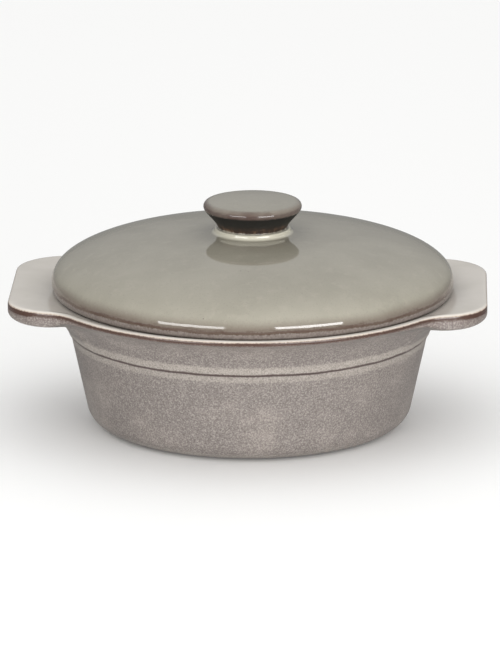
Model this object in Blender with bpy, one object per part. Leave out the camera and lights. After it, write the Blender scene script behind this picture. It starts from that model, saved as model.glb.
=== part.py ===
"""A round covered casserole dish in glazed stoneware: a dish with two lug handles, and a domed
lid with a knob, which sits loose in the dish's mouth. The object is built in metres with +Z up,
its origin at the centre of the base and +X along the lugs. Lengths below are in millimetres."""

import math

import bmesh
import bpy
from mathutils import Vector

MM = 0.001

# Dish: the plan outline.
LENGTH = 258.0  # over both lugs
RIM_RADIUS = 115.8
LUG_HALF_WIDTH = 61.0
LUG_CORNER_RADIUS = 28.0
LUG_FILLET_RADIUS = 24.0
LUG_BLEND = 7.0  # past the rim's circle by this much, the outline is wholly lug
ROOT_START = 6.0  # degrees from the lug's middle: its underside deepens into the collar
ROOT_FULL = 26.0
ROOT_END = 50.0

# Dish: the section.
FOOT_INNER_RADIUS = 63.8
FOOT_OUTER_RADIUS = 72.8
FOOT_GROOVE = 0.6
BASE_RECESS = 1.8
HEEL_RADIUS = 11.6
HEEL_CENTRE_RADIUS = 76.9
WALL_DRAFT = 0.214  # radial growth per unit of height
STEP_HEIGHT = 51.4
STEP_WIDTH = 1.5
RIM_HEIGHT = 75.0
LUG_HEIGHT = 75.6
FLOOR_HEIGHT = 7.2
FLOOR_CORNER_RADIUS = 12.0
INNER_WALL_RADIUS = 90.6  # at the step's height

# The collar, as (radius, height) control points at the plain rim and at a lug.
COLLAR_BOTTOM = (98.3, 52.3)
COLLAR_FOOT = (98.5, 52.9)
RIM_HOLLOW = (99.7, 60.0)
LUG_HOLLOW = (101.4, 57.4)
RIM_THROAT = (105.0, 67.8)
LUG_THROAT = (105.2, 65.8)
RIM_UNDERSIDE = (112.0, 71.0)
LUG_UNDERSIDE = (112.0, 68.7)
ROOT_EDGE_DEPTH = 2.6  # the lug's root lowers the outer edge and the two points inside it
ROOT_UNDERSIDE_DEPTH = 2.8
ROOT_THROAT_DEPTH = 1.6

# The outer edge and the top, at the plain rim and at a lug.
RIM_EDGE_LOW = 72.0
LUG_EDGE_LOW = 69.3
RIM_LOW_ROUND = 1.2
LUG_LOW_ROUND = 1.8
RIM_TOP_ROUND = 1.3
LUG_TOP_ROUND = 2.0
RIM_CREST_OUTER = (112.6, 75.3)
LUG_CREST_OUTER = (120.0, 75.6)
RIM_CREST_INNER = (112.2, 74.9)
LUG_CREST_INNER = (115.0, 75.0)
GALLERY_EDGE = (110.0, 73.9)

# The wall above the floor's corner, and the throat between it and the seat.
THROAT = (98.7, 70.8)
THROAT_LOW = (98.7, 62.0)
THROAT_FOOT = (93.2, 61.0)

# The gallery's flat seat, and the gap between it and the lid, which touch on the real object.
SEAT_OUTER_RADIUS = 108.6
SEAT_INNER_RADIUS = 100.6
SEAT_HEIGHT = 73.3
SEAT_GAP = 0.3

# Lid and knob.
LID_SHIFT = 1.8  # the loose lid lies this far off the dish's centre, towards +X
LID_RADIUS = 109.05
LID_UNDERSIDE = 70.2
LID_EDGE_HEIGHT = 78.3
DOME_RISE = 27.2
DOME_POWERS = (2.12, 2.36)  # superellipse powers across and up
SPIGOT_RADIUS = 96.6
SPIGOT_WIDTH = 3.6
LID_HOLLOW_RADIUS = 93.0
LID_HOLLOW_HEIGHT = 75.0
HOLLOW_RISE = 24.6
HOLLOW_POWERS = (2.25, 2.25)
KNOB_RADIUS = 26.65
KNOB_EDGE_HEIGHT = 119.8
KNOB_EDGE_RADIUS = 2.8
KNOB_TOP = 123.8
NECK_RADIUS = 19.2
NECK_HEIGHT = 108.0
NECK_FOOT_RADIUS = 23.8
KNOB_CROWN_INNER = 10.0  # radii at which the knob's crown bends
KNOB_CROWN_OUTER = 18.0
NECK_TOP = (23.2, 114.3)
NECK_WAIST = (19.5, 111.0)
NECK_LOW = (19.2, 106.2)
NECK_FLARE_RADIUS = 20.6

# Azimuth steps in a quarter turn: fine round the lug, coarser along the plain rim.
LUG_SPAN = math.radians(48.0)
LUG_STEPS = 12
RIM_STEPS = 4
LID_STEPS = 52
SHARP_DEGREES = 50.0


def mix(start, end, share):
    return start + (end - start) * share


def between(start, end, share):
    """The point at a share of the way from one point to another."""
    return (mix(start[0], end[0], share), mix(start[1], end[1], share))


def lowered(point, depth):
    return (point[0], point[1] - depth)


def smooth(share):
    share = min(max(share, 0.0), 1.0)
    return share * share * (3.0 - 2.0 * share)


def arc(centre, radius, start_deg, end_deg, steps):
    """Points on an arc about centre, both ends included."""
    points = []
    for i in range(steps + 1):
        angle = math.radians(mix(start_deg, end_deg, i / steps))
        points.append((centre[0] + radius * math.cos(angle), centre[1] + radius * math.sin(angle)))
    return points


def curve(a, b, c, d, steps):
    """Points on a cubic Bezier curve, without its first point."""
    points = []
    for i in range(1, steps + 1):
        t = i / steps
        s = 1.0 - t
        weights = (s * s * s, 3.0 * s * s * t, 3.0 * s * t * t, t * t * t)
        points.append(tuple(sum(w * p[k] for w, p in zip(weights, (a, b, c, d))) for k in (0, 1)))
    return points


def crown(radius, height, rise, powers, start_deg, end_deg, steps):
    """Points on a superelliptic dome: 90 degrees is its apex on the axis, 0 is its edge."""
    points = []
    for i in range(steps + 1):
        angle = math.radians(mix(start_deg, end_deg, i / steps))
        across = max(math.cos(angle), 0.0) ** (2.0 / powers[0])
        up = max(math.sin(angle), 0.0) ** (2.0 / powers[1])
        points.append((radius * across, height + rise * up))
    return points


def ray_hit(direction, centre, radius, far):
    """Distance along a ray from the origin to a circle, at its far or its near side."""
    along = direction[0] * centre[0] + direction[1] * centre[1]
    off = centre[0] ** 2 + centre[1] ** 2 - along * along
    half = math.sqrt(max(radius * radius - off, 0.0))
    return along + half if far else along - half


def outline_radius(azimuth):
    """Radius of the dish's plan outline: the round rim, and at each end a lug with rounded
    corners that a concave fillet joins to the rim."""
    direction = (abs(math.cos(azimuth)), abs(math.sin(azimuth)))
    angle = math.atan2(direction[1], direction[0])
    tip = LENGTH / 2.0
    corner = (tip - LUG_CORNER_RADIUS, LUG_HALF_WIDTH - LUG_CORNER_RADIUS)
    to_corner = math.hypot(*corner)
    to_fillet = RIM_RADIUS + LUG_FILLET_RADIUS
    apart = LUG_CORNER_RADIUS + LUG_FILLET_RADIUS
    turn = math.acos((to_corner**2 + to_fillet**2 - apart**2) / (2.0 * to_corner * to_fillet))
    fillet_angle = math.atan2(corner[1], corner[0]) + turn
    fillet = (to_fillet * math.cos(fillet_angle), to_fillet * math.sin(fillet_angle))
    share = LUG_CORNER_RADIUS / apart
    meet = (mix(corner[0], fillet[0], share), mix(corner[1], fillet[1], share))
    if angle <= math.atan2(corner[1], tip):
        return tip / direction[0]
    if angle <= math.atan2(meet[1], meet[0]):
        return ray_hit(direction, corner, LUG_CORNER_RADIUS, far=True)
    if angle <= fillet_angle:
        return ray_hit(direction, fillet, LUG_FILLET_RADIUS, far=False)
    return RIM_RADIUS


def root_share(azimuth):
    """How deep the lug's root is at an azimuth: deepest where the lug's sides meet the rim."""
    angle = math.degrees(math.atan2(abs(math.sin(azimuth)), abs(math.cos(azimuth))))
    rise = smooth((angle - ROOT_START) / (ROOT_FULL - ROOT_START))
    return rise * (1.0 - smooth((angle - ROOT_FULL) / (ROOT_END - ROOT_FULL)))


def foot_section():
    """The recessed base and the foot ring, from the centre out."""
    recess_edge = (FOOT_INNER_RADIUS - 2.6, BASE_RECESS)
    inner_low = (FOOT_INNER_RADIUS, 0.0)
    recess_low = (FOOT_INNER_RADIUS - 1.4, BASE_RECESS)
    foot_low = (FOOT_INNER_RADIUS - 1.2, 0.0)
    points = [(0.0, BASE_RECESS), recess_edge]
    points += curve(recess_edge, recess_low, foot_low, inner_low, 3)
    points += [(FOOT_OUTER_RADIUS, 0.0), (FOOT_OUTER_RADIUS + 0.9, FOOT_GROOVE)]
    return points


def wall_section():
    """The rounded heel, the drafted wall and the small step under the collar."""
    lean = math.degrees(math.atan(WALL_DRAFT))
    points = arc((HEEL_CENTRE_RADIUS, HEEL_RADIUS + FOOT_GROOVE), HEEL_RADIUS, -90.0, -lean, 7)
    heel_top = points[-1]
    step_radius = heel_top[0] + (STEP_HEIGHT - heel_top[1]) * WALL_DRAFT
    wall_top = (step_radius - 0.1, STEP_HEIGHT - 1.0)
    under_step = (step_radius, STEP_HEIGHT - 0.5)
    step_nose = (step_radius + 0.4, STEP_HEIGHT - 0.1)
    ledge = (step_radius + STEP_WIDTH - 0.3, STEP_HEIGHT + 0.5)
    points.append(wall_top)
    points += curve(wall_top, under_step, step_nose, ledge, 2)
    return points


def collar_section(reach, lug, root):
    """The collar, which flares into the rim's lip or into the underside of a lug, the outer
    edge, and the glazed top down to the gallery."""
    low_round = mix(RIM_LOW_ROUND, LUG_LOW_ROUND, lug)
    top_round = mix(RIM_TOP_ROUND, LUG_TOP_ROUND, lug)
    edge_low = mix(RIM_EDGE_LOW, LUG_EDGE_LOW, lug) - ROOT_EDGE_DEPTH * root
    edge_top = mix(RIM_HEIGHT, LUG_HEIGHT, lug)
    hollow = between(RIM_HOLLOW, LUG_HOLLOW, lug)
    throat = lowered(between(RIM_THROAT, LUG_THROAT, lug), ROOT_THROAT_DEPTH * root)
    underside = lowered(between(RIM_UNDERSIDE, LUG_UNDERSIDE, lug), ROOT_UNDERSIDE_DEPTH * root)
    points = [COLLAR_BOTTOM, COLLAR_FOOT]
    points += curve(COLLAR_FOOT, hollow, throat, underside, 7)
    points += arc((reach - low_round, edge_low + low_round), low_round, -90.0, 0.0, 2)
    points += arc((reach - top_round, edge_top - top_round), top_round, 0.0, 90.0, 3)
    crest_outer = between(RIM_CREST_OUTER, LUG_CREST_OUTER, lug)
    crest_inner = between(RIM_CREST_INNER, LUG_CREST_INNER, lug)
    points += curve(points[-1], crest_outer, crest_inner, GALLERY_EDGE, 5)
    return points


def inside_section():
    """The gallery's seat, the inner wall and the floor, to the centre."""
    lean = math.degrees(math.atan(WALL_DRAFT))
    seat_outer = (SEAT_OUTER_RADIUS, SEAT_HEIGHT)
    seat_inner = (SEAT_INNER_RADIUS, SEAT_HEIGHT)
    wall_top = (INNER_WALL_RADIUS, STEP_HEIGHT)
    corner_height = FLOOR_HEIGHT + FLOOR_CORNER_RADIUS
    wall_there = INNER_WALL_RADIUS - WALL_DRAFT * (STEP_HEIGHT - corner_height)
    corner = (wall_there - FLOOR_CORNER_RADIUS * math.hypot(1.0, WALL_DRAFT), corner_height)
    points = [(SEAT_OUTER_RADIUS + 0.7, SEAT_HEIGHT + 0.2), seat_outer, seat_inner]
    points += curve(seat_inner, (THROAT[0] + 0.6, SEAT_HEIGHT), (THROAT[0], THROAT[1] + 1.6), THROAT, 3)
    points += curve(THROAT, THROAT_LOW, THROAT_FOOT, wall_top, 4)
    points += arc(corner, FLOOR_CORNER_RADIUS, -lean, -90.0, 5)
    points.append((0.0, FLOOR_HEIGHT))
    return points


def dish_section(azimuth):
    reach = outline_radius(azimuth)
    lug = smooth((reach - RIM_RADIUS) / LUG_BLEND)
    collar = collar_section(reach, lug, root_share(azimuth))
    return foot_section() + wall_section() + collar + inside_section()


def knob_section():
    """The knob from its apex to where its neck meets the dome."""
    apex = (0.0, KNOB_TOP)
    neck = (NECK_RADIUS, NECK_HEIGHT)
    edge_centre = (KNOB_RADIUS - KNOB_EDGE_RADIUS, KNOB_EDGE_HEIGHT)
    edge = arc(edge_centre, KNOB_EDGE_RADIUS, 80.0, 0.0, 3)
    edge += arc(edge_centre, KNOB_EDGE_RADIUS, 0.0, -40.0, 2)[1:]
    points = [apex]
    points += curve(apex, (KNOB_CROWN_INNER, KNOB_TOP), (KNOB_CROWN_OUTER, KNOB_TOP - 0.6), edge[0], 3)
    points += edge[1:]
    points += curve(edge[-1], NECK_TOP, NECK_WAIST, neck, 3)
    return points


def spigot_section():
    """The resting ring under the lid, and inside it the spigot that keeps the lid in the mouth."""
    rest_height = SEAT_HEIGHT + SEAT_GAP
    inner_radius = SPIGOT_RADIUS - SPIGOT_WIDTH
    points = [(LID_RADIUS - 2.0, rest_height), (SPIGOT_RADIUS + 1.4, rest_height)]
    points.append((SPIGOT_RADIUS + 0.2, rest_height - 0.3))
    points.append((SPIGOT_RADIUS, rest_height - 1.4))
    points.append((SPIGOT_RADIUS - 0.5, LID_UNDERSIDE + 0.5))
    points.append((SPIGOT_RADIUS - SPIGOT_WIDTH / 2.0, LID_UNDERSIDE))
    points.append((inner_radius + 0.5, LID_UNDERSIDE + 0.5))
    points.append((inner_radius, rest_height - 1.0))
    return points


def lid_section(azimuth):
    """The lid from the knob's apex down its outer side, under its edge and up to the centre of
    its hollow. It is the same at every azimuth."""
    points = knob_section()
    neck_edge = math.degrees(math.acos((NECK_FOOT_RADIUS / LID_RADIUS) ** (DOME_POWERS[0] / 2.0)))
    dome = crown(LID_RADIUS, LID_EDGE_HEIGHT, DOME_RISE, DOME_POWERS, neck_edge, 0.0, 11)
    points += curve(points[-1], NECK_LOW, (NECK_FLARE_RADIUS, dome[0][1] + 0.3), dome[0], 3)
    points += dome[1:]
    points += [(LID_RADIUS - 0.05, LID_EDGE_HEIGHT - 0.9), (LID_RADIUS - 0.5, SEAT_HEIGHT + 2.1)]
    points.append((LID_RADIUS - 0.9, SEAT_HEIGHT + 0.8))
    points += spigot_section()
    points += crown(LID_HOLLOW_RADIUS, LID_HOLLOW_HEIGHT, HOLLOW_RISE, HOLLOW_POWERS, 0.0, 90.0, 8)
    return points


def lug_azimuths():
    """Azimuths round the whole dish, closer together where a lug's outline turns."""
    quarter = [LUG_SPAN * i / LUG_STEPS for i in range(LUG_STEPS)]
    rest = math.pi / 2.0 - LUG_SPAN
    quarter += [LUG_SPAN + rest * i / RIM_STEPS for i in range(RIM_STEPS)]
    mirrored = [math.pi / 2.0] + [math.pi - a for a in reversed(quarter[1:])]
    half = quarter + mirrored
    return half + [a + math.pi for a in half]


def even_azimuths(steps):
    return [2.0 * math.pi * i / steps for i in range(steps)]


def sweep(name, section, azimuths, origin):
    """An object whose surface joins a section at each azimuth about its origin. A section starts
    and ends on the axis, where it becomes a fan of triangles. Sections and origin are in
    millimetres."""
    bm = bmesh.new()
    columns = []
    profiles = [section(azimuth) for azimuth in azimuths]
    first = bm.verts.new(Vector((0.0, 0.0, profiles[0][0][1] - origin[2])) * MM)
    last = bm.verts.new(Vector((0.0, 0.0, profiles[0][-1][1] - origin[2])) * MM)
    for azimuth, profile in zip(azimuths, profiles):
        column = []
        for radius, height in profile[1:-1]:
            spot = Vector((radius * math.cos(azimuth), radius * math.sin(azimuth), height - origin[2]))
            column.append(bm.verts.new(spot * MM))
        columns.append(column)
    for column, other in zip(columns, columns[1:] + columns[:1]):
        bm.faces.new((first, other[0], column[0]))
        for j in range(len(column) - 1):
            bm.faces.new((column[j], other[j], other[j + 1], column[j + 1]))
        bm.faces.new((last, column[-1], other[-1]))
    bmesh.ops.recalc_face_normals(bm, faces=bm.faces)
    mesh = bpy.data.meshes.new(name)
    bm.to_mesh(mesh)
    bm.free()
    mesh.shade_smooth()
    mesh.set_sharp_from_angle(angle=math.radians(SHARP_DEGREES))
    piece = bpy.data.objects.new(name, mesh)
    piece.location = Vector(origin) * MM
    bpy.context.scene.collection.objects.link(piece)
    return piece


def glaze(name, colour, roughness):
    material = bpy.data.materials.new(name)
    material.use_nodes = True
    shader = material.node_tree.nodes["Principled BSDF"]
    shader.inputs["Base Color"].default_value = (*colour, 1.0)
    shader.inputs["Roughness"].default_value = roughness
    shader.inputs["Metallic"].default_value = 0.0
    return material


def clear_scene():
    for item in list(bpy.data.objects):
        bpy.data.objects.remove(item, do_unlink=True)


def make_dish():
    dish = sweep("dish", dish_section, lug_azimuths(), (0.0, 0.0, 0.0))
    dish.data.materials.append(glaze("taupe_glaze", (0.29, 0.25, 0.23), 0.42))


def make_lid():
    """The lid. Its origin is on the axis along which it lifts, level with its underside."""
    lid = sweep("lid", lid_section, even_azimuths(LID_STEPS), (LID_SHIFT, 0.0, LID_UNDERSIDE))
    lid.data.materials.append(glaze("sage_glaze", (0.38, 0.355, 0.31), 0.2))


clear_scene()
make_dish()
make_lid()
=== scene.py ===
"""The looks of a round covered casserole dish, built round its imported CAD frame: a speckled taupe
outside, a cream gallery and lugs, and a sage lid whose glaze breaks to brown over every edge."""

import math

import bmesh
import bpy
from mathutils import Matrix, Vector


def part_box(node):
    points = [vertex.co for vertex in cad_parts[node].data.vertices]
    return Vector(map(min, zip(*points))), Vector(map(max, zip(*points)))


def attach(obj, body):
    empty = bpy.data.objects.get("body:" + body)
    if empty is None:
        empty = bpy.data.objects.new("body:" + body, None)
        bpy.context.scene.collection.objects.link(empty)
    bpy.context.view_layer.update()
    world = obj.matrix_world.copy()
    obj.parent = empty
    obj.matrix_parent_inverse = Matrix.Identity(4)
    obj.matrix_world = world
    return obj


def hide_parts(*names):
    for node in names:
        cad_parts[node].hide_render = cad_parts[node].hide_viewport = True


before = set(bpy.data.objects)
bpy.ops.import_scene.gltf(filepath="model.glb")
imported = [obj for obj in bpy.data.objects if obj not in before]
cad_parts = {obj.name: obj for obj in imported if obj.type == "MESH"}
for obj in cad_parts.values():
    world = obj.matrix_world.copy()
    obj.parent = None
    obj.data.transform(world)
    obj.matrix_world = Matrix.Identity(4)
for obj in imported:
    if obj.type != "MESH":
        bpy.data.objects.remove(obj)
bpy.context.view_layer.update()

MM = 0.001

# Sizes that the frame gives, in millimetres like all the lengths below.
dish_low, dish_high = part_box("dish")
lid_low, lid_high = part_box("lid")
LENGTH = (dish_high.x - dish_low.x) / MM
RIM_RADIUS = dish_high.y / MM
LUG_HEIGHT = dish_high.z / MM
LID_RADIUS = (lid_high.x - lid_low.x) / 2.0 / MM
LID_SHIFT = (lid_high.x + lid_low.x) / 2.0 / MM
LID_UNDERSIDE = lid_low.z / MM
KNOB_TOP = lid_high.z / MM

# Dish: the plan outline.
LUG_HALF_WIDTH = 61.0
LUG_CORNER_RADIUS = 28.0
LUG_FILLET_RADIUS = 24.0
LUG_BLEND = 7.0
ROOT_START = 6.0  # degrees from the lug's middle: its underside deepens into the collar
ROOT_FULL = 26.0
ROOT_END = 50.0

# Dish: the section.
FOOT_INNER_RADIUS = 63.8
FOOT_OUTER_RADIUS = 72.8
FOOT_GROOVE = 0.6
FOOT_GROOVE_WIDTH = 0.9
BASE_RECESS = 1.8
RECESS_SLOPE_WIDTH = 2.6
HEEL_RADIUS = 11.6
HEEL_CENTRE_RADIUS = 76.9
WALL_DRAFT = 0.214
STEP_HEIGHT = 51.4
STEP_WIDTH = 1.5
STEP_LIP = (STEP_WIDTH - 0.3, 0.5)  # the step's lip, out from the wall and up from its height
RIM_HEIGHT = 75.0
FLOOR_HEIGHT = 7.2
FLOOR_CORNER_RADIUS = 12.0
INNER_WALL_RADIUS = 90.6
SEAT_OUTER_RADIUS = 105.5
SEAT_INNER_RADIUS = 100.6
SEAT_HEIGHT = 73.3
SEAT_SLOPE_RADIUS = 107.2

# The collar, as (radius, height) control points at the plain rim and at a lug.
COLLAR_BOTTOM = (98.3, 52.3)
COLLAR_FOOT = (98.5, 52.9)
RIM_HOLLOW = (99.7, 60.0)
LUG_HOLLOW = (101.4, 57.4)
RIM_THROAT = (105.0, 67.8)
LUG_THROAT = (105.2, 65.8)
RIM_UNDERSIDE = (112.0, 71.0)
LUG_UNDERSIDE = (112.0, 68.7)
ROOT_EDGE_DEPTH = 2.6  # the lug's root lowers the outer edge and the two points inside it
ROOT_UNDERSIDE_DEPTH = 2.8
ROOT_THROAT_DEPTH = 1.6

# The outer edge and the top, at the plain rim and at a lug.
RIM_EDGE_LOW = 72.0
LUG_EDGE_LOW = 69.3
RIM_LOW_ROUND = 1.2
LUG_LOW_ROUND = 1.8
RIM_TOP_ROUND = 1.3
LUG_TOP_ROUND = 2.0
RIM_CREST_OUTER = (112.6, 75.3)
LUG_CREST_OUTER = (120.0, 75.6)
RIM_CREST_INNER = (112.2, 74.9)
LUG_CREST_INNER = (117.0, 75.1)
GALLERY_EDGE = (110.0, 73.7)
GALLERY_SLOPE = (108.4, 73.42)

# The wall above the floor's corner, and the throat between it and the seat.
THROAT = (98.7, 70.8)
THROAT_LOW = (98.7, 62.0)
THROAT_FOOT = (93.2, 61.0)

# Lid and knob.
LID_EDGE_HEIGHT = 78.3
DOME_RISE = 27.2
DOME_PLAN_POWER = 2.12
DOME_RISE_POWER = 2.36
LID_SIDE_TOP = (LID_RADIUS - 0.05, 77.4)
LID_SIDE_LOW = (LID_RADIUS - 0.5, 75.4)
LID_CORNER_HIGH = (LID_RADIUS - 0.7, 74.2)
LID_CORNER_INSET = 1.2
REST_OUTER_INSET = 2.0
SEAT_GAP = 0.3
SPIGOT_RADIUS = 96.6
SPIGOT_WIDTH = 3.6
SPIGOT_FILLET = 1.4  # between the resting ring and the spigot's outer side
SPIGOT_INNER_DEPTH = 1.0
SPIGOT_EDGE = 0.2  # how far above the spigot's lowest line its sides begin to turn under
SPIGOT_TURN = 0.5
LID_HOLLOW_RADIUS = 93.0
LID_HOLLOW_HEIGHT = 75.0
HOLLOW_RISE = 24.6
HOLLOW_PLAN_POWER = 2.25
HOLLOW_RISE_POWER = 2.25
KNOB_RADIUS = 26.65
KNOB_EDGE_HEIGHT = 119.8
KNOB_EDGE_RADIUS = 2.8
NECK_FOOT_RADIUS = 23.8
KNOB_CROWN_INNER = 10.0  # radii at which the knob's crown bends
KNOB_CROWN_OUTER = 18.0
KNOB_CROWN_DROP = 0.6
NECK_TOP = (23.2, 114.3)
NECK_WAIST = (19.4, 111.2)
NECK_BOTTOM = (18.9, 108.5)
BEAD_START = (18.9, 108.2)  # a bead of glaze pooled round the neck's foot
BEAD_TOP = (20.4, 108.6)
BEAD_CREST = (20.55, 107.9)
BEAD_SIDE = (20.77, 106.6)
BEAD_OUTER = (20.9, 105.9)

DISH_STEPS = 400
LID_STEPS = 320


# ---------------------------------------------------------------- outlines and sections


def mix(start, end, share):
    return start + (end - start) * share


def between(start, end, share):
    """The point at a share of the way from one point to another."""
    return (mix(start[0], end[0], share), mix(start[1], end[1], share))


def lowered(point, depth):
    return (point[0], point[1] - depth)


def smooth(share):
    share = min(max(share, 0.0), 1.0)
    return share * share * (3.0 - 2.0 * share)


def line(start, end, steps):
    """Points on a straight line, without its first point."""
    return [between(start, end, i / steps) for i in range(1, steps + 1)]


def arc(centre, radii, start_deg, end_deg, steps):
    """Points on an elliptic arc about centre, both ends included."""
    points = []
    for i in range(steps + 1):
        angle = math.radians(mix(start_deg, end_deg, i / steps))
        across, up = radii[0] * math.cos(angle), radii[1] * math.sin(angle)
        points.append((centre[0] + across, centre[1] + up))
    return points


def curve(a, b, c, d, steps):
    """Points on a cubic Bezier curve, without its first point."""
    points = []
    for i in range(1, steps + 1):
        t = i / steps
        s = 1.0 - t
        weights = (s * s * s, 3.0 * s * s * t, 3.0 * s * t * t, t * t * t)
        points.append(tuple(sum(w * p[k] for w, p in zip(weights, (a, b, c, d))) for k in (0, 1)))
    return points


def crown(radius, height, rise, plan_power, rise_power, start_deg, end_deg, steps):
    """Points on a superelliptic dome: 90 degrees is its apex on the axis, 0 is its edge."""
    points = []
    for i in range(steps + 1):
        angle = math.radians(mix(start_deg, end_deg, i / steps))
        across = max(math.cos(angle), 0.0) ** (2.0 / plan_power)
        up = max(math.sin(angle), 0.0) ** (2.0 / rise_power)
        points.append((radius * across, height + rise * up))
    return points


def ray_hit(direction, centre, radius, far):
    """Distance along a ray from the origin to a circle, at its far or its near side."""
    along = direction[0] * centre[0] + direction[1] * centre[1]
    off = centre[0] ** 2 + centre[1] ** 2 - along * along
    half = math.sqrt(max(radius * radius - off, 0.0))
    return along + half if far else along - half


def outline_radius(azimuth):
    """Radius of the dish's plan outline: the round rim, and at each end a lug with rounded
    corners that a concave fillet joins to the rim."""
    direction = (abs(math.cos(azimuth)), abs(math.sin(azimuth)))
    angle = math.atan2(direction[1], direction[0])
    tip = LENGTH / 2.0
    corner = (tip - LUG_CORNER_RADIUS, LUG_HALF_WIDTH - LUG_CORNER_RADIUS)
    to_corner = math.hypot(*corner)
    to_fillet = RIM_RADIUS + LUG_FILLET_RADIUS
    apart = LUG_CORNER_RADIUS + LUG_FILLET_RADIUS
    turn = math.acos((to_corner**2 + to_fillet**2 - apart**2) / (2.0 * to_corner * to_fillet))
    fillet_angle = math.atan2(corner[1], corner[0]) + turn
    fillet = (to_fillet * math.cos(fillet_angle), to_fillet * math.sin(fillet_angle))
    share = LUG_CORNER_RADIUS / apart
    meet = between(corner, fillet, share)
    if angle <= math.atan2(corner[1], tip):
        return tip / direction[0]
    if angle <= math.atan2(meet[1], meet[0]):
        return ray_hit(direction, corner, LUG_CORNER_RADIUS, far=True)
    if angle <= fillet_angle:
        return ray_hit(direction, fillet, LUG_FILLET_RADIUS, far=False)
    return RIM_RADIUS


class Section:
    """A section of (radius, height) points from one end on the axis to the other, with named
    marks. Each mark becomes a vertex attribute: the distance along the section from it."""

    def __init__(self):
        self.points = []
        self.marks = {}

    def add(self, points, mark=None):
        if mark:
            self.marks[mark] = len(self.points)
        self.points += points

    def last(self):
        return self.points[-1]

    def lengths(self):
        total = 0.0
        found = [total]
        for a, b in zip(self.points, self.points[1:]):
            total += math.hypot(b[0] - a[0], b[1] - a[1])
            found.append(total)
        return found


def dish_section(azimuth):
    reach = outline_radius(azimuth)
    lug = smooth((reach - RIM_RADIUS) / LUG_BLEND)
    section = Section()
    add_foot(section)
    add_wall(section)
    add_collar(section, reach, lug, root_share(azimuth))
    add_inside(section)
    return section


def add_foot(section):
    """The recessed base and the foot ring, from the centre out."""
    recess_edge = (FOOT_INNER_RADIUS - RECESS_SLOPE_WIDTH, BASE_RECESS)
    slope_high = (FOOT_INNER_RADIUS - 1.4, BASE_RECESS)
    slope_low = (FOOT_INNER_RADIUS - 1.2, 0.0)
    inner_low = (FOOT_INNER_RADIUS, 0.0)
    outer_low = (FOOT_OUTER_RADIUS, 0.0)
    groove_low = (FOOT_OUTER_RADIUS + 0.5, 0.0)
    groove_side = (FOOT_OUTER_RADIUS + 0.7, FOOT_GROOVE / 2.0)
    groove = (FOOT_OUTER_RADIUS + FOOT_GROOVE_WIDTH, FOOT_GROOVE)
    section.add([(0.0, BASE_RECESS)])
    section.add(line(section.last(), recess_edge, 12))
    section.add(curve(recess_edge, slope_high, slope_low, inner_low, 6))
    section.add(line(inner_low, outer_low, 5), mark="foot")
    section.add(curve(outer_low, groove_low, groove_side, groove, 4))


def add_wall(section):
    """The rounded heel, the drafted wall and the small step under the collar."""
    lean = math.degrees(math.atan(WALL_DRAFT))
    heel_centre = (HEEL_CENTRE_RADIUS, HEEL_RADIUS + FOOT_GROOVE)
    section.add(arc(heel_centre, (HEEL_RADIUS, HEEL_RADIUS), -90.0, -lean, 18), mark="heel")
    heel_top = section.last()
    step_radius = heel_top[0] + (STEP_HEIGHT - heel_top[1]) * WALL_DRAFT
    wall_top = (step_radius - 0.1, STEP_HEIGHT - 1.0)
    under_step = (step_radius, STEP_HEIGHT - 0.5)
    step_side = (step_radius + 0.4, STEP_HEIGHT - 0.1)
    lip = (step_radius + STEP_LIP[0], STEP_HEIGHT + STEP_LIP[1])
    section.add(line(heel_top, wall_top, 16))
    section.add(curve(wall_top, under_step, step_side, lip, 5), mark="step")


def root_share(azimuth):
    """How much of the lug's deep root there is at an azimuth: most where its sides meet the rim."""
    angle = math.degrees(math.atan2(abs(math.sin(azimuth)), abs(math.cos(azimuth))))
    rise = smooth((angle - ROOT_START) / (ROOT_FULL - ROOT_START))
    return rise * (1.0 - smooth((angle - ROOT_FULL) / (ROOT_END - ROOT_FULL)))


def add_collar(section, reach, lug, root):
    """The collar, which flares into the rim's lip or into the underside of a lug, the outer
    edge, and the glazed top down to the gallery."""
    low_round = mix(RIM_LOW_ROUND, LUG_LOW_ROUND, lug)
    top_round = mix(RIM_TOP_ROUND, LUG_TOP_ROUND, lug)
    edge_low = mix(RIM_EDGE_LOW, LUG_EDGE_LOW, lug) - ROOT_EDGE_DEPTH * root
    edge_top = mix(RIM_HEIGHT, LUG_HEIGHT, lug)
    hollow = between(RIM_HOLLOW, LUG_HOLLOW, lug)
    throat = lowered(between(RIM_THROAT, LUG_THROAT, lug), ROOT_THROAT_DEPTH * root)
    underside = lowered(between(RIM_UNDERSIDE, LUG_UNDERSIDE, lug), ROOT_UNDERSIDE_DEPTH * root)
    low_centre = (reach - low_round, edge_low + low_round)
    top_centre = (reach - top_round, edge_top - top_round)
    section.add([COLLAR_BOTTOM, COLLAR_FOOT])
    section.add(curve(COLLAR_FOOT, hollow, throat, underside, 22))
    section.add(arc(low_centre, (low_round, low_round), -90.0, 0.0, 6))
    section.add(line(section.last(), (reach, top_centre[1]), 3))
    section.add(arc(top_centre, (top_round, top_round), 0.0, 90.0, 7)[1:], mark="lip")
    crest_outer = between(RIM_CREST_OUTER, LUG_CREST_OUTER, lug)
    crest_inner = between(RIM_CREST_INNER, LUG_CREST_INNER, lug)
    section.add(curve((top_centre[0], edge_top), crest_outer, crest_inner, GALLERY_EDGE, 14))


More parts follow.
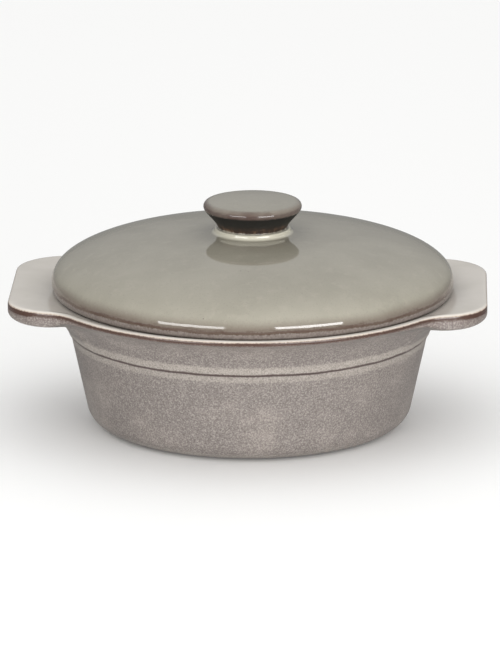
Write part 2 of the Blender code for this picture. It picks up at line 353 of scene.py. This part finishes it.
def add_inside(section):
    """The gallery's seat, the inner wall and the floor, to the centre."""
    lean = math.degrees(math.atan(WALL_DRAFT))
    seat_outer = (SEAT_OUTER_RADIUS, SEAT_HEIGHT)
    seat_inner = (SEAT_INNER_RADIUS, SEAT_HEIGHT)
    wall_top = (INNER_WALL_RADIUS, STEP_HEIGHT)
    seat_slope = (SEAT_SLOPE_RADIUS, SEAT_HEIGHT)
    throat_high = (THROAT[0] + 0.6, SEAT_HEIGHT)
    throat_side = (THROAT[0], THROAT[1] + 1.6)
    section.add(curve(section.last(), GALLERY_SLOPE, seat_slope, seat_outer, 6))
    section.add(line(seat_outer, seat_inner, 5))
    section.add(curve(seat_inner, throat_high, throat_side, THROAT, 8))
    section.add(curve(THROAT, THROAT_LOW, THROAT_FOOT, wall_top, 12))
    corner_height = FLOOR_HEIGHT + FLOOR_CORNER_RADIUS
    wall_there = INNER_WALL_RADIUS - WALL_DRAFT * (STEP_HEIGHT - corner_height)
    corner = (wall_there - FLOOR_CORNER_RADIUS * math.hypot(1.0, WALL_DRAFT), corner_height)
    corner_radii = (FLOOR_CORNER_RADIUS, FLOOR_CORNER_RADIUS)
    floor_corner = arc(corner, corner_radii, -lean, -90.0, 14)
    section.add(line(wall_top, floor_corner[0], 8))
    section.add(floor_corner[1:])
    section.add(line(floor_corner[-1], (0.0, FLOOR_HEIGHT), 12))


def lid_section(azimuth):
    """The lid from the knob's apex down its outer side, under its edge and up to the centre of
    its hollow. It is the same at every azimuth."""
    section = Section()
    edge_centre = (KNOB_RADIUS - KNOB_EDGE_RADIUS, KNOB_EDGE_HEIGHT)
    edge_radii = (KNOB_EDGE_RADIUS, KNOB_EDGE_RADIUS)
    upper_edge = arc(edge_centre, edge_radii, 80.0, 0.0, 8)
    lower_edge = arc(edge_centre, edge_radii, 0.0, -40.0, 5)
    apex = (0.0, KNOB_TOP)
    section.add([apex])
    crown_inner = (KNOB_CROWN_INNER, KNOB_TOP)
    crown_outer = (KNOB_CROWN_OUTER, KNOB_TOP - KNOB_CROWN_DROP)
    section.add(curve(apex, crown_inner, crown_outer, upper_edge[0], 14))
    section.add(upper_edge[1:-1])
    section.add(lower_edge, mark="knob")
    section.add(curve(lower_edge[-1], NECK_TOP, NECK_WAIST, NECK_BOTTOM, 12))
    across = (NECK_FOOT_RADIUS / LID_RADIUS) ** (DOME_PLAN_POWER / 2.0)
    start = math.degrees(math.acos(across))
    dome = crown(
        LID_RADIUS, LID_EDGE_HEIGHT, DOME_RISE, DOME_PLAN_POWER, DOME_RISE_POWER, start, 0.0, 64
    )
    bead_foot = (NECK_FOOT_RADIUS - 1.5, dome[0][1] + 0.3)
    section.add(curve(NECK_BOTTOM, BEAD_START, BEAD_TOP, BEAD_CREST, 6), mark="ring")
    section.add(line(BEAD_CREST, BEAD_SIDE, 3))
    section.add(curve(BEAD_SIDE, BEAD_OUTER, bead_foot, dome[0], 7))
    section.add(dome[1:])
    add_lid_underside(section)
    return section


def add_lid_underside(section):
    """The lid's side below its widest line, its resting ring, the spigot that keeps it in the
    dish's mouth, and its hollow."""
    rest_height = SEAT_HEIGHT + SEAT_GAP
    corner_low = (LID_RADIUS - LID_CORNER_INSET, rest_height)
    rest_outer = (LID_RADIUS - REST_OUTER_INSET, rest_height)
    section.add(line(section.last(), LID_SIDE_TOP, 2), mark="corner")
    section.add(line(LID_SIDE_TOP, LID_SIDE_LOW, 4))
    section.add(curve(LID_SIDE_LOW, LID_CORNER_HIGH, corner_low, rest_outer, 7))

    rest_inner = (SPIGOT_RADIUS + SPIGOT_FILLET, rest_height)
    fillet_top = (SPIGOT_RADIUS + 0.4, rest_height)
    fillet_side = (SPIGOT_RADIUS, rest_height - 0.4)
    spigot_outer = (SPIGOT_RADIUS, rest_height - SPIGOT_FILLET)
    section.add(line(rest_outer, rest_inner, 4), mark="rest")
    section.add(curve(rest_inner, fillet_top, fillet_side, spigot_outer, 4))

    inner_radius = SPIGOT_RADIUS - SPIGOT_WIDTH
    outer_turn = (SPIGOT_RADIUS, LID_UNDERSIDE + SPIGOT_EDGE)
    outer_low = (SPIGOT_RADIUS - SPIGOT_TURN, LID_UNDERSIDE)
    spigot_low = (SPIGOT_RADIUS - SPIGOT_WIDTH / 2.0, LID_UNDERSIDE)
    inner_low = (inner_radius + SPIGOT_TURN, LID_UNDERSIDE)
    inner_turn = (inner_radius, LID_UNDERSIDE + SPIGOT_EDGE)
    spigot_inner = (inner_radius, rest_height - SPIGOT_INNER_DEPTH)
    section.add(curve(spigot_outer, outer_turn, outer_low, spigot_low, 5))
    section.add(curve(spigot_low, inner_low, inner_turn, spigot_inner, 5))

    hollow_edge = (LID_HOLLOW_RADIUS, LID_HOLLOW_HEIGHT)
    section.add(line(spigot_inner, hollow_edge, 3))
    hollow = crown(
        LID_HOLLOW_RADIUS,
        LID_HOLLOW_HEIGHT,
        HOLLOW_RISE,
        HOLLOW_PLAN_POWER,
        HOLLOW_RISE_POWER,
        0.0,
        90.0,
        40,
    )
    section.add(hollow[1:])


def sweep(name, section_at, steps, centre_x):
    """A closed body whose surface joins a section at each azimuth. The sections' marks become
    vertex attributes."""
    bm = bmesh.new()
    sections = [section_at(2.0 * math.pi * i / steps) for i in range(steps)]
    layers = {mark: bm.verts.layers.float.new(mark) for mark in sections[0].marks}

    def vertex(section, lengths, index, azimuth):
        r, z = section.points[index]
        spot = Vector((centre_x + r * math.cos(azimuth), r * math.sin(azimuth), z)) * MM
        vert = bm.verts.new(spot)
        for mark, layer in layers.items():
            vert[layer] = lengths[index] - lengths[section.marks[mark]]
        return vert

    first_lengths = sections[0].lengths()
    last_index = len(sections[0].points) - 1
    first = vertex(sections[0], first_lengths, 0, 0.0)
    last = vertex(sections[0], first_lengths, last_index, 0.0)
    columns = []
    for i, section in enumerate(sections):
        lengths = section.lengths()
        azimuth = 2.0 * math.pi * i / steps
        columns.append([vertex(section, lengths, j, azimuth) for j in range(1, last_index)])
    for column, other in zip(columns, columns[1:] + columns[:1]):
        bm.faces.new((first, other[0], column[0]))
        for j in range(len(column) - 1):
            bm.faces.new((column[j], other[j], other[j + 1], column[j + 1]))
        bm.faces.new((last, column[-1], other[-1]))
    bmesh.ops.recalc_face_normals(bm, faces=bm.faces)
    mesh = bpy.data.meshes.new(name)
    bm.to_mesh(mesh)
    bm.free()
    mesh.shade_smooth()
    piece = bpy.data.objects.new(name, mesh)
    bpy.context.scene.collection.objects.link(piece)
    return piece


# ---------------------------------------------------------------- materials


def tone(red, green, blue):
    """A linear colour from its 8-bit sRGB values."""
    found = []
    for value in (red, green, blue):
        share = value / 255.0
        found.append(share / 12.92 if share <= 0.04045 else ((share + 0.055) / 1.055) ** 2.4)
    return (*found, 1.0)


# Glaze tones, with painted shade under the dish's lip and under the knob.
TAUPE_LOW = tone(113, 106, 102)
TAUPE_HIGH = tone(136, 128, 122)
TAUPE_LIGHT = tone(163, 156, 149)
TAUPE_POOL = tone(160, 153, 144)
TAUPE_SHADE = tone(108, 93, 87)
TAUPE_GRAIN = tone(84, 75, 72)
BREAK_VIOLET = tone(72, 58, 56)
BREAK_BROWN = tone(70, 50, 42)
BREAK_RUST = tone(66, 43, 34)
CREAM_LOW = tone(194, 188, 179)
CREAM_HIGH = tone(203, 197, 189)
CREAM_EDGE = tone(160, 134, 112)
CLAY_LOW = tone(150, 126, 104)
CLAY_HIGH = tone(176, 152, 128)
SAGE_LOW = tone(136, 132, 119)
SAGE_HIGH = tone(144, 140, 127)
SAGE_LIGHT = tone(152, 147, 134)
SAGE_GRAIN = tone(112, 106, 97)
SAGE_VEIL = tone(98, 86, 78)
SIDE_LOW = tone(112, 103, 98)
SIDE_HIGH = tone(130, 121, 115)
# Painted shade under the knob.
SHADE_UNDER_KNOB = tone(12, 10, 8)
NECK_BROWN = tone(46, 33, 25)
NECK_RUST = tone(112, 84, 62)
RING_POOL = tone(184, 180, 164)
FLOOR_TONE = tone(252, 252, 251)

# Finishes.
GLAZE_IOR = 1.5
TAUPE_SMOOTH = 0.34
TAUPE_ROUGH = 0.50
LIP_ROUGHNESS = 0.22
CREAM_ROUGHNESS = 0.10
DOME_SMOOTH = 0.03
DOME_ROUGH = 0.08
LID_SIDE_ROUGHNESS = 0.2
NECK_ROUGHNESS = 0.55
CLAY_ROUGHNESS = 0.85
FLOOR_ROUGHNESS = 0.6

# Where bare clay and the rusty break begin, in millimetres.
BARE_REST_WIDTH = 6.2
RUST_START = 112.0
RUST_FULL = 122.0


class Paint:
    """Short calls that add shader nodes to one material. Distances along a section, as the
    marks give them, are in millimetres, and grow in the order in which its points are added."""

    def __init__(self, name):
        self.material = bpy.data.materials.new(name)
        self.material.use_nodes = True
        self.tree = self.material.node_tree
        self.shader = self.tree.nodes["Principled BSDF"]
        self.place = self.tree.nodes.new("ShaderNodeTexCoord").outputs["Object"]

    def put(self, socket, value):
        if isinstance(value, bpy.types.NodeSocket):
            self.tree.links.new(value, socket)
        else:
            socket.default_value = value

    def mark(self, name):
        node = self.tree.nodes.new("ShaderNodeAttribute")
        node.attribute_name = name
        return node.outputs["Fac"]

    def across(self):
        """The place along the length, in millimetres from the middle."""
        node = self.tree.nodes.new("ShaderNodeSeparateXYZ")
        self.put(node.inputs["Vector"], self.place)
        return self.times(node.outputs["X"], 1.0 / MM)

    def noise(self, size_mm, detail=2.0, roughness=0.5, stretch=(1.0, 1.0, 1.0), shift=0.0):
        """Noise from 0 to 1 about 0.5, with features of about size_mm."""
        mapping = self.tree.nodes.new("ShaderNodeMapping")
        mapping.inputs["Scale"].default_value = stretch
        mapping.inputs["Location"].default_value = (shift, shift * 0.7, -shift)
        self.put(mapping.inputs["Vector"], self.place)
        node = self.tree.nodes.new("ShaderNodeTexNoise")
        node.inputs["Scale"].default_value = 1.0 / (size_mm * MM)
        node.inputs["Detail"].default_value = detail
        node.inputs["Roughness"].default_value = roughness
        self.put(node.inputs["Vector"], mapping.outputs["Vector"])
        return node.outputs["Fac"]

    def specks(self, spacing_mm, size_mm):
        """1 inside sparse round specks, 0 outside."""
        node = self.tree.nodes.new("ShaderNodeTexVoronoi")
        node.inputs["Scale"].default_value = 1.0 / (spacing_mm * MM)
        self.put(node.inputs["Vector"], self.place)
        edge = size_mm / spacing_mm / 2.0
        return self.fade(node.outputs["Distance"], edge, edge * 0.4)

    def sum(self, a, b):
        return self.maths("ADD", a, b)

    def times(self, a, b):
        return self.maths("MULTIPLY", a, b)

    def maths(self, operation, a, b=0.0):
        node = self.tree.nodes.new("ShaderNodeMath")
        node.operation = operation
        self.put(node.inputs[0], a)
        self.put(node.inputs[1], b)
        return node.outputs["Value"]

    def fade(self, value, start, end):
        """0 at start and 1 at end, smooth between them. end may be below start."""
        node = self.tree.nodes.new("ShaderNodeMapRange")
        node.interpolation_type = "SMOOTHSTEP"
        low, high = min(start, end), max(start, end)
        node.inputs["From Min"].default_value = low
        node.inputs["From Max"].default_value = high
        node.inputs["To Min"].default_value = 1.0 if end < start else 0.0
        node.inputs["To Max"].default_value = 0.0 if end < start else 1.0
        self.put(node.inputs["Value"], value)
        return node.outputs["Result"]

    def band(self, value, start, end, soft):
        """1 between start and end, with edges of width soft."""
        rise = self.fade(value, start - soft, start)
        fall = self.fade(value, end + soft, end)
        return self.times(rise, fall)

    def wander(self, mark, noise, amount_mm):
        """A mark's distance pushed either way by noise."""
        return self.sum(mark, self.times(self.sum(noise, -0.5), 2.0 * amount_mm))

    def blend(self, share, under, over, mode="MIX"):
        node = self.tree.nodes.new("ShaderNodeMix")
        node.data_type = "RGBA"
        node.blend_type = mode
        self.put(node.inputs["Factor"], share)
        self.put(node.inputs[6], under)
        self.put(node.inputs[7], over)
        return node.outputs[2]

    def level(self, share, under, over):
        """A plain number between under and over."""
        node = self.tree.nodes.new("ShaderNodeMix")
        node.data_type = "FLOAT"
        self.put(node.inputs["Factor"], share)
        self.put(node.inputs[2], under)
        self.put(node.inputs[3], over)
        return node.outputs[0]

    def bump(self, height, strength, distance_mm):
        node = self.tree.nodes.new("ShaderNodeBump")
        node.inputs["Strength"].default_value = strength
        node.inputs["Distance"].default_value = distance_mm * MM
        self.put(node.inputs["Height"], height)
        self.put(self.shader.inputs["Normal"], node.outputs["Normal"])

    def finish(self, colour, roughness):
        self.put(self.shader.inputs["Base Color"], colour)
        self.put(self.shader.inputs["Roughness"], roughness)
        self.shader.inputs["IOR"].default_value = GLAZE_IOR
        return self.material


def dish_glaze():
    """Speckled taupe outside, cream from the lip inwards, and bare clay on the foot ring."""
    paint = Paint("dish_glaze")
    lip, step, heel, foot = (paint.mark(name) for name in ("lip", "step", "heel", "foot"))
    grain = paint.noise(0.9, 3.0, 0.8)
    grit = paint.noise(0.6, 2.0, 0.7, shift=3.0)
    patches = paint.noise(30.0, 3.0, 0.55, shift=7.0)
    drift = paint.noise(9.0, 3.0, 0.6, stretch=(0.5, 0.5, 1.2), shift=5.0)
    ragged = paint.noise(1.4, 3.0, 0.6, shift=11.0)
    slow = paint.noise(14.0, 2.0, 0.5, shift=13.0)

    near_step = paint.wander(paint.wander(step, ragged, 0.5), slow, 0.7)
    near_lip = paint.wander(paint.sum(lip, 0.15), ragged, 0.5)

    outside = paint.blend(paint.fade(patches, 0.38, 0.62), TAUPE_LOW, TAUPE_HIGH)
    outside = paint.blend(paint.times(paint.fade(drift, 0.42, 0.62), 0.55), outside, TAUPE_LOW)
    under_step = paint.band(near_step, -11.0, -6.5, 4.0)
    outside = paint.blend(paint.times(under_step, 0.55), outside, TAUPE_LOW)
    pale_under_step = paint.band(near_step, -2.8, -0.9, 1.6)
    outside = paint.blend(paint.times(pale_under_step, 0.6), outside, TAUPE_POOL)
    collar_shade = paint.band(near_step, 7.5, 10.5, 2.6)
    outside = paint.blend(paint.times(collar_shade, 0.7), outside, TAUPE_LOW)
    pooled = paint.band(near_step, 3.0, 5.2, 1.8)
    outside = paint.blend(paint.times(pooled, 0.75), outside, TAUPE_POOL)
    heel_pool = paint.band(paint.wander(heel, slow, 2.0), 3.0, 8.0, 3.0)
    outside = paint.blend(paint.times(heel_pool, 0.35), outside, TAUPE_POOL)

    # Painted shade: the outside darkens towards the lip, down its outer edge and the flange's
    # underside, where the overhang shades it.
    shade_under_lip = paint.times(paint.fade(paint.wander(near_lip, slow, 1.5), -7.5, -0.8), 0.80)
    outside = paint.blend(shade_under_lip, outside, TAUPE_SHADE)
    outside = paint.blend(paint.times(paint.fade(grain, 0.56, 0.32), 0.56), outside, TAUPE_GRAIN)
    outside = paint.blend(paint.times(paint.fade(grain, 0.44, 0.68), 0.72), outside, TAUPE_LIGHT)
    speckle = paint.times(paint.fade(grit, 0.55, 0.72), paint.fade(patches, 0.30, 0.62))
    outside = paint.blend(paint.times(speckle, 0.75), outside, TAUPE_GRAIN)

    thin_glaze = paint.band(near_step, 0.5, 1.7, 0.7)
    outside = paint.blend(paint.times(thin_glaze, 0.92), outside, BREAK_VIOLET)
    heel_line = paint.band(paint.wander(heel, ragged, 0.6), -0.6, 1.0, 0.8)
    outside = paint.blend(heel_line, outside, BREAK_BROWN)
    clay = paint.blend(paint.fade(grain, 0.35, 0.65), CLAY_LOW, CLAY_HIGH)
    bare = paint.times(paint.fade(foot, -3.2, -2.6), paint.fade(heel, -0.9, -1.3))
    outside = paint.blend(bare, outside, clay)

    outward = paint.maths("ABSOLUTE", paint.across())
    rust = paint.fade(paint.wander(outward, slow, 5.0), RUST_START, RUST_FULL)
    break_tone = paint.blend(rust, BREAK_BROWN, BREAK_RUST)
    break_low = paint.maths("SUBTRACT", near_lip, paint.level(rust, -0.8, -1.9))
    break_line = paint.times(paint.fade(break_low, -1.3, 0.3), paint.fade(near_lip, 0.9, 0.3))
    outside = paint.blend(paint.times(break_line, 0.94), outside, break_tone)

    cream = paint.blend(paint.fade(patches, 0.3, 0.7), CREAM_LOW, CREAM_HIGH)
    peach = paint.band(near_lip, 0.1, 0.7, 0.6)
    inside = paint.blend(paint.times(peach, 0.6), cream, CREAM_EDGE)
    is_inside = paint.fade(near_lip, 0.2, 0.8)
    colour = paint.blend(is_inside, outside, inside)

    satin = paint.level(grain, TAUPE_SMOOTH, TAUPE_ROUGH)
    satin = paint.level(paint.fade(near_lip, -4.0, -1.0), satin, LIP_ROUGHNESS)
    roughness = paint.level(is_inside, satin, CREAM_ROUGHNESS)
    roughness = paint.level(bare, roughness, CLAY_ROUGHNESS)
    relief = paint.level(is_inside, paint.sum(grain, grit), paint.noise(9.0, 1.0, 0.4))
    paint.bump(relief, 0.30, 0.08)
    return paint.finish(colour, roughness)


def lid_glaze():
    """Sage grey gloss over the dome and knob, breaking to brown at edges; painted shade under the
    knob.
    """
    paint = Paint("lid_glaze")
    knob, ring, corner, rest = (paint.mark(name) for name in ("knob", "ring", "corner", "rest"))
    mottle = paint.noise(6.0, 4.0, 0.6)
    cloud = paint.noise(34.0, 2.0, 0.5, shift=5.0)
    ragged = paint.noise(1.3, 3.0, 0.6, shift=2.0)
    grain = paint.noise(0.9, 2.0, 0.6, shift=4.0)
    streaks = paint.noise(1.5, 3.0, 0.6, stretch=(0.16, 0.16, 1.0), shift=8.0)
    drips = paint.noise(2.4, 3.0, 0.6, stretch=(1.0, 1.0, 0.3), shift=9.0)
    slow = paint.noise(26.0, 2.0, 0.5, shift=12.0)

    sage = paint.blend(paint.fade(cloud, 0.3, 0.7), SAGE_LOW, SAGE_HIGH)
    sage = paint.blend(paint.times(paint.fade(mottle, 0.5, 0.72), 0.35), sage, SAGE_LIGHT)
    sage = paint.blend(paint.times(paint.fade(grain, 0.55, 0.70), 0.22), sage, SAGE_GRAIN)
    specks = paint.specks(9.0, 0.8)
    speck_patches = paint.fade(paint.noise(12.0, 1.0, shift=1.5), 0.5, 0.56)
    dots = paint.times(specks, speck_patches)
    sage = paint.blend(paint.times(dots, 0.75), sage, BREAK_VIOLET)

    near_corner = paint.wander(paint.wander(corner, ragged, 0.9), slow, 1.2)
    veil = paint.fade(near_corner, -8.5, -0.2)
    colour = paint.blend(paint.times(veil, 0.85), sage, SAGE_VEIL)
    streak = paint.times(paint.fade(near_corner, -3.0, -0.8), paint.fade(streaks, 0.44, 0.62))
    colour = paint.blend(paint.times(streak, 0.5), colour, BREAK_BROWN)
    brown = paint.band(near_corner, -0.5, 0.2, 0.8)
    colour = paint.blend(paint.times(brown, 0.55), colour, BREAK_BROWN)
    side_tone = paint.blend(paint.fade(ragged, 0.36, 0.66), SIDE_LOW, SIDE_HIGH)
    side = paint.fade(near_corner, 0.5, 1.2)
    colour = paint.blend(paint.times(side, 0.9), colour, side_tone)
    # The foot of the lid's side: partly the brown glaze break over its lower edge, partly painted
    # shadow in the gap over the dish.
    edge_break_and_gap_shadow = paint.fade(near_corner, 3.6, 4.8)
    colour = paint.blend(paint.times(edge_break_and_gap_shadow, 0.85), colour, BREAK_BROWN)

    near_knob = paint.wander(knob, ragged, 1.1)
    knob_veil = paint.times(paint.fade(near_knob, -6.0, -1.0), paint.fade(near_knob, 3.0, 2.0))
    colour = paint.blend(paint.times(knob_veil, 0.75), colour, SAGE_VEIL)
    bruise = paint.times(paint.fade(slow, 0.46, 0.60), paint.band(near_knob, -2.5, 1.4, 2.5))
    colour = paint.blend(paint.times(bruise, 0.7), colour, BREAK_BROWN)
    knob_edge = paint.band(near_knob, 0.0, 1.6, 1.6)
    colour = paint.blend(paint.times(knob_edge, 0.6), colour, BREAK_VIOLET)
    near_ring = paint.wander(paint.wander(ring, drips, 1.1), grain, 0.8)
    under_knob = paint.times(paint.fade(near_knob, 1.0, 2.4), paint.fade(near_ring, 1.5, -0.9))
    wisps = paint.times(paint.fade(near_ring, -5.5, -0.5), paint.fade(drips, 0.50, 0.68))
    # The neck: painted shade, near black, under the knob's edge, going over to the brown glaze
    # towards the ring.
    neck = paint.blend(paint.fade(near_ring, -7.0, -0.5), SHADE_UNDER_KNOB, NECK_BROWN)
    neck = paint.blend(paint.times(wisps, 0.5), neck, NECK_RUST)
    colour = paint.blend(under_knob, colour, neck)
    pool = paint.times(paint.fade(near_ring, -1.0, 1.2), paint.fade(ring, 5.4, 3.8))
    colour = paint.blend(pool, colour, RING_POOL)

    underneath = paint.fade(rest, -0.6, 0.4)
    cream = paint.blend(paint.fade(mottle, 0.3, 0.7), CREAM_LOW, CREAM_HIGH)
    clay = paint.blend(paint.fade(grain, 0.35, 0.65), CLAY_LOW, CLAY_HIGH)
    past_rest = paint.fade(paint.wander(rest, ragged, 0.5), BARE_REST_WIDTH, 7.0)
    below = paint.blend(past_rest, clay, cream)
    colour = paint.blend(underneath, colour, below)

    roughness = paint.level(mottle, DOME_SMOOTH, DOME_ROUGH)
    roughness = paint.level(side, roughness, LID_SIDE_ROUGHNESS)
    neck_only = paint.times(under_knob, paint.fade(ring, 0.0, -1.5))
    roughness = paint.level(neck_only, roughness, NECK_ROUGHNESS)
    bare = paint.times(underneath, paint.fade(rest, 6.8, BARE_REST_WIDTH))
    roughness = paint.level(bare, roughness, CLAY_ROUGHNESS)
    ripple = paint.noise(11.0, 2.0, 0.45, shift=6.0)
    paint.bump(paint.sum(ripple, paint.times(grain, 0.04)), 0.22, 0.10)
    return paint.finish(colour, roughness)


def floor_material():
    paint = Paint("studio_floor")
    return paint.finish(FLOOR_TONE, FLOOR_ROUGHNESS)


# ---------------------------------------------------------------- the object


def make_dish():
    dish = sweep("casserole_dish", dish_section, DISH_STEPS, 0.0)
    dish.data.materials.append(dish_glaze())
    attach(dish, "dish")
    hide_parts("dish")


def make_lid():
    lid = sweep("casserole_lid", lid_section, LID_STEPS, LID_SHIFT)
    lid.data.materials.append(lid_glaze())
    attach(lid, "lid")
    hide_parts("lid")


# ---------------------------------------------------------------- the studio

CAMERA_DISTANCE = 3.263
CAMERA_ELEVATION = 15.2
CAMERA_AZIMUTH = 1.8
CAMERA_LENS = 332.3
CAMERA_SENSOR = 36.0
CLIP_NEAR = 0.1
CLIP_FAR = 50.0
AIM = Vector((0.0004, 0.0, 0.053))
FLOOR_HALF_SIZE = 6.0
SKY_LOW = 0.28  # the world's strength at the horizon, and straight up
SKY_HIGH = 1.32

# Two wide, low softboxes, in metres, degrees and watts.
SOFTBOX_ELEVATION = 4.0
SOFTBOX_DISTANCE = 1.5
SOFTBOX_WIDTH = 1.02
SOFTBOX_HEIGHT = 0.30
LEFT_AZIMUTH = -32.0
LEFT_POWER = 9.5
RIGHT_AZIMUTH = 33.0
RIGHT_POWER = 15.0


def direction(azimuth_deg, elevation_deg):
    """A unit vector from the dish towards a place round it. Azimuth 0 is in front, at -Y."""
    azimuth, elevation = math.radians(azimuth_deg), math.radians(elevation_deg)
    flat = math.cos(elevation)
    return Vector((math.sin(azimuth) * flat, -math.cos(azimuth) * flat, math.sin(elevation)))


def look_at(item, place, target):
    item.location = place
    item.rotation_euler = (target - place).to_track_quat("-Z", "Y").to_euler()


def make_camera():
    camera = bpy.data.objects.new("camera", bpy.data.cameras.new("camera"))
    camera.data.lens = CAMERA_LENS
    camera.data.sensor_width = CAMERA_SENSOR
    camera.data.clip_start = CLIP_NEAR
    camera.data.clip_end = CLIP_FAR
    bpy.context.scene.collection.objects.link(camera)
    look_at(camera, AIM + direction(CAMERA_AZIMUTH, CAMERA_ELEVATION) * CAMERA_DISTANCE, AIM)
    bpy.context.scene.camera = camera


def make_softbox(name, azimuth, power):
    light = bpy.data.lights.new(name, "AREA")
    light.shape = "RECTANGLE"
    light.size = SOFTBOX_WIDTH
    light.size_y = SOFTBOX_HEIGHT
    light.energy = power
    lamp = bpy.data.objects.new(name, light)
    bpy.context.scene.collection.objects.link(lamp)
    look_at(lamp, AIM + direction(azimuth, SOFTBOX_ELEVATION) * SOFTBOX_DISTANCE, AIM)


def make_floor():
    """A pale floor. Glossy rays miss it, so that it doesn't wash out the lid's far edge."""
    size = FLOOR_HALF_SIZE
    mesh = bpy.data.meshes.new("floor")
    corners = [(-size, -size, 0.0), (size, -size, 0.0), (size, size, 0.0), (-size, size, 0.0)]
    mesh.from_pydata(corners, [], [(0, 1, 2, 3)])
    mesh.materials.append(floor_material())
    floor = bpy.data.objects.new("floor", mesh)
    bpy.context.scene.collection.objects.link(floor)
    floor.visible_glossy = False


def make_world():
    """A white sky that brightens from the horizon up."""
    world = bpy.data.worlds.new("studio")
    bpy.context.scene.world = world
    world.use_nodes = True
    tree = world.node_tree
    place = tree.nodes.new("ShaderNodeTexCoord")
    parts = tree.nodes.new("ShaderNodeSeparateXYZ")
    climb = tree.nodes.new("ShaderNodeMapRange")
    climb.inputs["From Min"].default_value = 0.0
    climb.inputs["From Max"].default_value = 1.0
    climb.inputs["To Min"].default_value = SKY_LOW
    climb.inputs["To Max"].default_value = SKY_HIGH
    tree.links.new(place.outputs["Generated"], parts.inputs["Vector"])
    tree.links.new(parts.outputs["Z"], climb.inputs["Value"])
    background = tree.nodes["Background"]
    background.inputs["Color"].default_value = (1.0, 1.0, 1.0, 1.0)
    tree.links.new(climb.outputs["Result"], background.inputs["Strength"])


def make_studio():
    make_camera()
    make_floor()
    make_world()
    make_softbox("softbox_left", LEFT_AZIMUTH, LEFT_POWER)
    make_softbox("softbox_right", RIGHT_AZIMUTH, RIGHT_POWER)
    bpy.context.scene.view_settings.view_transform = "Standard"


make_studio()
make_dish()
make_lid()
